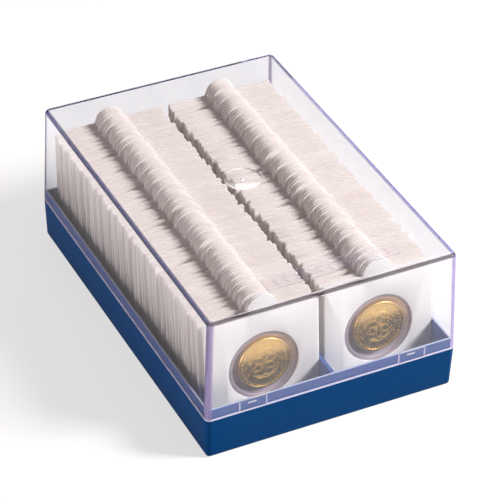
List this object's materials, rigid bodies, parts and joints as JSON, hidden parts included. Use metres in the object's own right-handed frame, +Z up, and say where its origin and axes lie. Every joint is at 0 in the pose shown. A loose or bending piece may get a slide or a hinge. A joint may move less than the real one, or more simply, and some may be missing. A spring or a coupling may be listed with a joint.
{
  "type": "coin display tray",
  "caption": "Lidded storage box for square coin holders: moulded tray with a dividing wall, clear lift-off lid and two rows of folded card holders.",
  "frame": {"origin": "centre of the underside of the tray", "axes": "+X across the two rows, +Y from the front holders to the back wall, +Z up, the way the lid lifts"},
  "size_m": [0.114, 0.1716, 0.0677],
  "materials": {
    "blue_polystyrene": "glossy moulded deep blue polystyrene",
    "clear_polystyrene": "crystal clear moulded polystyrene",
    "card_board": "uncoated white card",
    "clear_film": "clear polyester film",
    "coin_brass": "struck golden brass alloy"
  },
  "bodies": {
    "tray": {"tray": "blue_polystyrene"},
    "lid": {"lid": "clear_polystyrene"},
    "left_front_holder": {"left_front_card": "card_board", "left_front_film_front": "clear_film", "left_front_film_back": "clear_film", "left_front_coin": "coin_brass"},
    "left_bundle_1": {"left_bundle_1_cards": "card_board", "left_bundle_1_films": "clear_film"},
    "left_bundle_2": {"left_bundle_2_cards": "card_board", "left_bundle_2_films": "clear_film"},
    "left_bundle_3": {"left_bundle_3_cards": "card_board", "left_bundle_3_films": "clear_film"},
    "left_bundle_4": {"left_bundle_4_cards": "card_board", "left_bundle_4_films": "clear_film"},
    "left_bundle_5": {"left_bundle_5_cards": "card_board", "left_bundle_5_films": "clear_film"},
    "left_bundle_6": {"left_bundle_6_cards": "card_board", "left_bundle_6_films": "clear_film"},
    "left_bundle_7": {"left_bundle_7_cards": "card_board", "left_bundle_7_films": "clear_film"},
    "right_front_holder": {"right_front_card": "card_board", "right_front_film_front": "clear_film", "right_front_film_back": "clear_film", "right_front_coin": "coin_brass"},
    "right_bundle_1": {"right_bundle_1_cards": "card_board", "right_bundle_1_films": "clear_film"},
    "right_bundle_2": {"right_bundle_2_cards": "card_board", "right_bundle_2_films": "clear_film"},
    "right_bundle_3": {"right_bundle_3_cards": "card_board", "right_bundle_3_films": "clear_film"},
    "right_bundle_4": {"right_bundle_4_cards": "card_board", "right_bundle_4_films": "clear_film"},
    "right_bundle_5": {"right_bundle_5_cards": "card_board", "right_bundle_5_films": "clear_film"},
    "right_bundle_6": {"right_bundle_6_cards": "card_board", "right_bundle_6_films": "clear_film"},
    "right_bundle_7": {"right_bundle_7_cards": "card_board", "right_bundle_7_films": "clear_film"}
  },
  "joints": [
    {"name": "lid_lift", "type": "slide", "parent": "tray", "child": "lid", "axis": [0, 0, 1], "range_m": [0, 0.13]},
    {"name": "left_front_holder_lift", "type": "slide", "parent": "tray", "child": "left_front_holder", "axis": [0, 0, 1], "range_m": [0, 0.065]},
    {"name": "left_bundle_1_lift", "type": "slide", "parent": "tray", "child": "left_bundle_1", "axis": [0, 0, 1], "range_m": [0, 0.0598]},
    {"name": "left_bundle_2_lift", "type": "slide", "parent": "tray", "child": "left_bundle_2", "axis": [0, 0, 1], "range_m": [0, 0.0546]},
    {"name": "left_bundle_3_lift", "type": "slide", "parent": "tray", "child": "left_bundle_3", "axis": [0, 0, 1], "range_m": [0, 0.0494]},
    {"name": "left_bundle_4_lift", "type": "slide", "parent": "tray", "child": "left_bundle_4", "axis": [0, 0, 1], "range_m": [0, 0.0442]},
    {"name": "left_bundle_5_lift", "type": "slide", "parent": "tray", "child": "left_bundle_5", "axis": [0, 0, 1], "range_m": [0, 0.039]},
    {"name": "left_bundle_6_lift", "type": "slide", "parent": "tray", "child": "left_bundle_6", "axis": [0, 0, 1], "range_m": [0, 0.0338]},
    {"name": "left_bundle_7_lift", "type": "slide", "parent": "tray", "child": "left_bundle_7", "axis": [0, 0, 1], "range_m": [0, 0.0286]},
    {"name": "right_front_holder_lift", "type": "slide", "parent": "tray", "child": "right_front_holder", "axis": [0, 0, 1], "range_m": [0, 0.065]},
    {"name": "right_bundle_1_lift", "type": "slide", "parent": "tray", "child": "right_bundle_1", "axis": [0, 0, 1], "range_m": [0, 0.0598]},
    {"name": "right_bundle_2_lift", "type": "slide", "parent": "tray", "child": "right_bundle_2", "axis": [0, 0, 1], "range_m": [0, 0.0546]},
    {"name": "right_bundle_3_lift", "type": "slide", "parent": "tray", "child": "right_bundle_3", "axis": [0, 0, 1], "range_m": [0, 0.0494]},
    {"name": "right_bundle_4_lift", "type": "slide", "parent": "tray", "child": "right_bundle_4", "axis": [0, 0, 1], "range_m": [0, 0.0442]},
    {"name": "right_bundle_5_lift", "type": "slide", "parent": "tray", "child": "right_bundle_5", "axis": [0, 0, 1], "range_m": [0, 0.039]},
    {"name": "right_bundle_6_lift", "type": "slide", "parent": "tray", "child": "right_bundle_6", "axis": [0, 0, 1], "range_m": [0, 0.0338]},
    {"name": "right_bundle_7_lift", "type": "slide", "parent": "tray", "child": "right_bundle_7", "axis": [0, 0, 1], "range_m": [0, 0.0286]}
  ],
  "couplings": [
    {"joint": "left_front_holder_lift", "follows": "lid_lift", "ratio": 0.5},
    {"joint": "left_bundle_1_lift", "follows": "lid_lift", "ratio": 0.46},
    {"joint": "left_bundle_2_lift", "follows": "lid_lift", "ratio": 0.42},
    {"joint": "left_bundle_3_lift", "follows": "lid_lift", "ratio": 0.38},
    {"joint": "left_bundle_4_lift", "follows": "lid_lift", "ratio": 0.34},
    {"joint": "left_bundle_5_lift", "follows": "lid_lift", "ratio": 0.3},
    {"joint": "left_bundle_6_lift", "follows": "lid_lift", "ratio": 0.26},
    {"joint": "left_bundle_7_lift", "follows": "lid_lift", "ratio": 0.22},
    {"joint": "right_front_holder_lift", "follows": "lid_lift", "ratio": 0.5},
    {"joint": "right_bundle_1_lift", "follows": "lid_lift", "ratio": 0.46},
    {"joint": "right_bundle_2_lift", "follows": "lid_lift", "ratio": 0.42},
    {"joint": "right_bundle_3_lift", "follows": "lid_lift", "ratio": 0.38},
    {"joint": "right_bundle_4_lift", "follows": "lid_lift", "ratio": 0.34},
    {"joint": "right_bundle_5_lift", "follows": "lid_lift", "ratio": 0.3},
    {"joint": "right_bundle_6_lift", "follows": "lid_lift", "ratio": 0.26},
    {"joint": "right_bundle_7_lift", "follows": "lid_lift", "ratio": 0.22}
  ]
}
